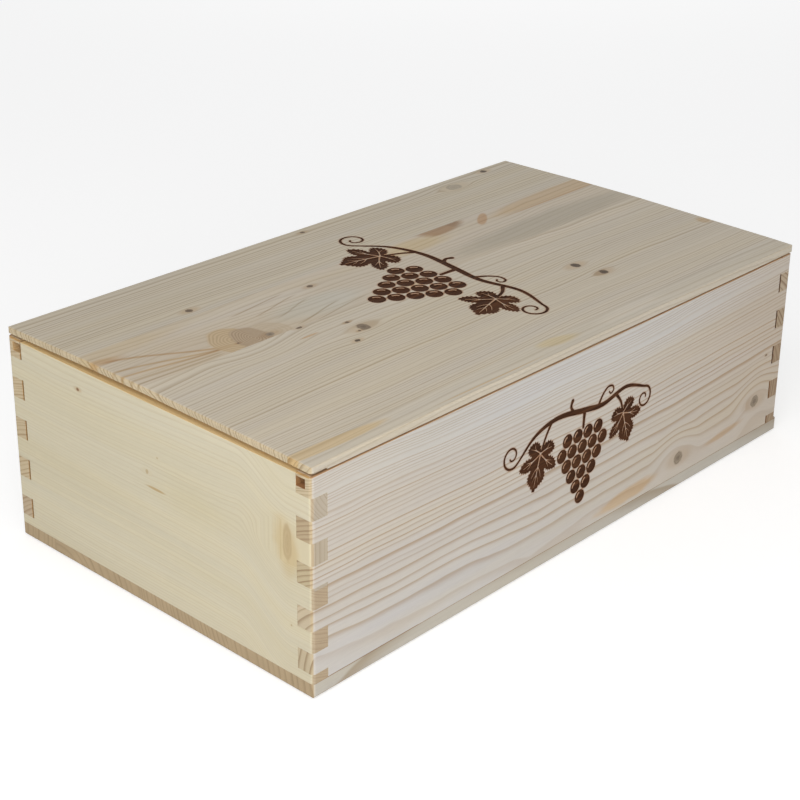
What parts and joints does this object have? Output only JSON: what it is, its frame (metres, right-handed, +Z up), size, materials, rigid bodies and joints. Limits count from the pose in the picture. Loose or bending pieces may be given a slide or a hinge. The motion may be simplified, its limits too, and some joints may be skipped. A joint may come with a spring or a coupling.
{
  "type": "wooden wine box",
  "caption": "Finger-jointed softwood box for wine bottles, with an edge-glued lid that slides out along grooves in its long sides.",
  "frame": {"origin": "middle of the footprint, on the surface that the box stands on", "axes": "+X along the box towards the opening end, the way the lid slides out; +Y across the box towards the back side; +Z up"},
  "size_m": [0.3419, 0.193, 0.1063],
  "materials": {
    "side_wood": "planed softwood, untreated",
    "end_wood": "planed softwood, untreated",
    "bottom_wood": "planed edge-glued softwood, untreated",
    "lid_wood": "planed edge-glued softwood, untreated",
    "pin_steel": "bare wire steel"
  },
  "bodies": {
    "box": {"front_side": "side_wood", "back_side": "side_wood", "closed_end": "end_wood", "opening_end": "end_wood", "bottom_board_1": "bottom_wood", "bottom_board_2": "bottom_wood", "bottom_board_3": "bottom_wood", "bottom_board_4": "bottom_wood", "bottom_pins": "pin_steel"},
    "lid": {"lid_board_1": "lid_wood", "lid_board_2": "lid_wood", "lid_board_3": "lid_wood", "lid_board_4": "lid_wood"}
  },
  "joints": [
    {"name": "lid_slide", "type": "slide", "parent": "box", "child": "lid", "axis": [1, 0, 0], "range_m": [0, 0.345]}
  ]
}
